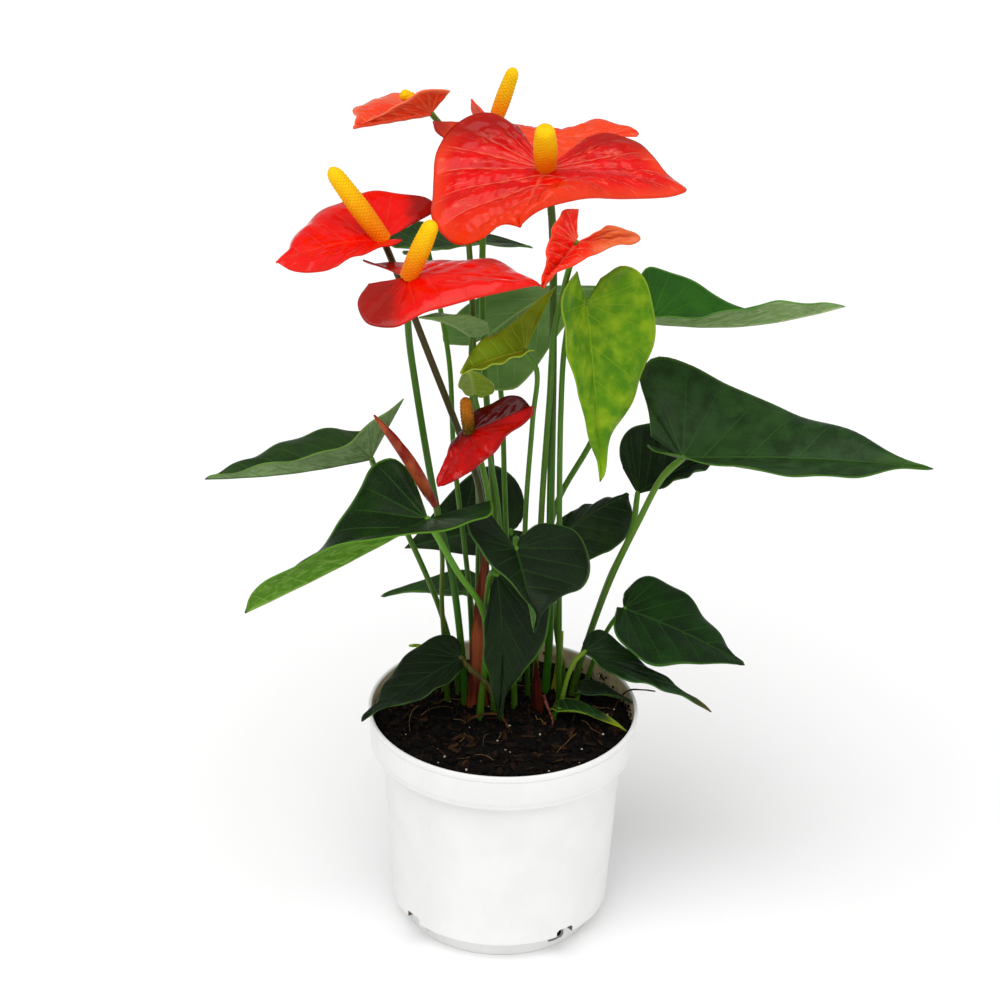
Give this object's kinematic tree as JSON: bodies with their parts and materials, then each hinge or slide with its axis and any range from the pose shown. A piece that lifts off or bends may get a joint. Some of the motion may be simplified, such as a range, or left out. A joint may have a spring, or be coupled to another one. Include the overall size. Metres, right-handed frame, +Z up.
{
  "type": "potted anthurium",
  "caption": "Heart-leaved flowering house plant with glossy red-orange spathes and yellow spadices on long stalks, growing in a white round pot filled with dark peat.",
  "frame": {"origin": "middle of the pot's flat underside, on the surface that it stands on", "axes": "+Z up, +X to the right and -Y toward the viewer as the picture shows the plant"},
  "size_m": [0.313, 0.1635, 0.385],
  "materials": {
    "pot_white": "satin moulded plastic",
    "peat": "loose dark peat and bark",
    "leaf_dark": "satin, dark green",
    "leaf_middle": "satin, middle green",
    "leaf_fresh": "satin, fresh green",
    "leaf_lime": "satin, yellow-green",
    "leaf_pale": "matte, pale green",
    "stalk_green": "satin, green",
    "spathe_orange": "glossy, orange-red",
    "spathe_red": "glossy, red",
    "spathe_dark": "glossy, dark red",
    "spadix_yellow": "matte, yellow",
    "bud_brown": "satin, red-brown",
    "sheath_brown": "matte, papery brown",
    "twig_brown": "matte bark"
  },
  "bodies": {
    "root": {"pot": "pot_white", "leaf_large_right": "leaf_dark", "leaf_lime_hanging": "leaf_lime", "leaf_young_olive": "leaf_fresh", "leaf_back_pale": "leaf_pale", "leaf_behind_blooms": "leaf_middle", "leaf_back_right": "leaf_dark", "leaf_left": "leaf_middle", "leaf_large_left": "leaf_dark", "leaf_front": "leaf_dark", "leaf_front_hanging": "leaf_dark", "leaf_low_left": "leaf_dark", "leaf_right_heart": "leaf_dark", "leaf_right_low": "leaf_dark", "leaf_right_behind": "leaf_dark", "leaf_middle_behind": "leaf_dark", "leaf_young_light": "leaf_fresh", "leaf_edge_on": "leaf_pale", "leaf_dark_behind": "leaf_dark", "leaf_low_left_behind": "leaf_middle", "leaf_soil_grey": "leaf_middle", "leaf_soil_bright": "leaf_fresh", "leaf_stub_olive": "leaf_fresh", "bloom_main_stalk": "stalk_green", "bloom_main_spathe": "spathe_orange", "bloom_main_spadix": "spadix_yellow", "bloom_left_stalk": "stalk_green", "bloom_left_spathe": "spathe_red", "bloom_left_spadix": "spadix_yellow", "bloom_front_stalk": "stalk_green", "bloom_front_spathe": "spathe_red", "bloom_front_spadix": "spadix_yellow", "bloom_upper_left_stalk": "stalk_green", "bloom_upper_left_spathe": "spathe_orange", "bloom_upper_left_spadix": "spadix_yellow", "bloom_top_stalk": "stalk_green", "bloom_top_spathe": "spathe_orange", "bloom_top_spadix": "spadix_yellow", "bloom_right_folded_stalk": "stalk_green", "bloom_right_folded_spathe": "spathe_orange", "bloom_right_folded_spadix": "spadix_yellow", "bloom_low_dark_stalk": "stalk_green", "bloom_low_dark_spathe": "spathe_dark", "bloom_low_dark_spadix": "spadix_yellow", "bloom_bud": "bud_brown", "sheath_brown": "sheath_brown", "sheath_dark_red": "sheath_brown", "sheath_yellow": "sheath_brown", "twig_upright": "twig_brown", "twig_over_rim": "twig_brown", "root_pink": "twig_brown", "root_arched": "twig_brown", "soil": "peat"}
  },
  "joints": []
}
